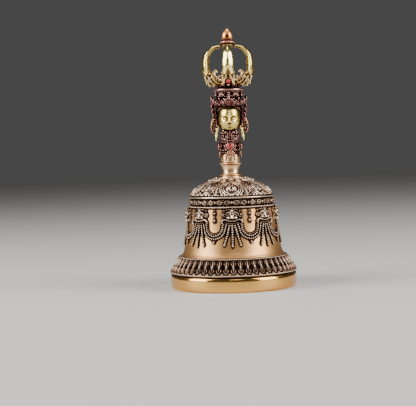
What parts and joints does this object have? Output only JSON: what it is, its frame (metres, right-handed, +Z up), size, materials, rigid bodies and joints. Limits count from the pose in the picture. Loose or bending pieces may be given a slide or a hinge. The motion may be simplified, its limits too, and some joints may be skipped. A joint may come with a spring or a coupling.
{
  "type": "ritual hand bell",
  "caption": "Tibetan hand bell: a turned bronze cup with a hanging clapper, under a handle of vase, crowned head and half vajra.",
  "frame": {"origin": "centre of the mouth, on the plane that the lip stands on", "axes": "+Z up along the bell's axis and its handle; the face on the handle and one makara head look along -Y; +X is to the right seen from the front"},
  "size_m": [0.0902, 0.0902, 0.1832],
  "materials": {
    "satin_bronze": "cast and chased bronze, satin, with dark patina in the recesses and a polished lip",
    "dark_bronze": "oxidised red-brown bronze, bright on worn edges",
    "pale_gold": "polished pale gilding",
    "coral": "polished red coral cabochon",
    "lapis": "polished blue lapis cabochon",
    "iron": "dark forged iron, worn on the striker"
  },
  "bodies": {
    "bell": {"bell_shell": "satin_bronze", "handle_collar": "satin_bronze", "tip_disc": "satin_bronze", "finial_bud": "satin_bronze", "vase": "dark_bronze", "vase_bezel_front": "dark_bronze", "vase_bezel_right": "dark_bronze", "vase_bezel_back": "dark_bronze", "vase_bezel_left": "dark_bronze", "crown": "dark_bronze", "moon_disc": "dark_bronze", "centre_prong": "dark_bronze", "makara_front": "dark_bronze", "makara_right": "dark_bronze", "makara_back": "dark_bronze", "makara_left": "dark_bronze", "head": "pale_gold", "ear_left": "pale_gold", "ear_right": "pale_gold", "prong_front": "pale_gold", "prong_right": "pale_gold", "prong_back": "pale_gold", "prong_left": "pale_gold", "vase_stone_front": "coral", "vase_stone_right": "coral", "vase_stone_back": "coral", "vase_stone_left": "coral", "makara_stone_front": "coral", "makara_stone_back": "coral", "makara_stone_right": "lapis", "makara_stone_left": "lapis", "tie_rod": "iron", "crown_washer": "iron", "clapper_hanger": "iron"},
    "clapper_link": {"clapper_link": "iron"},
    "clapper": {"clapper_shank": "iron", "clapper_ball": "iron"}
  },
  "joints": [
    {"name": "link_swing", "type": "hinge", "parent": "bell", "child": "clapper_link", "pos_m": [0, 0, 0.0626], "axis": [0, 1, 0], "range_deg": [-10, 10]},
    {"name": "clapper_swing", "type": "hinge", "parent": "clapper_link", "child": "clapper", "pos_m": [0, 0, 0.0574], "axis": [1, 0, 0], "range_deg": [-34, 34]}
  ]
}
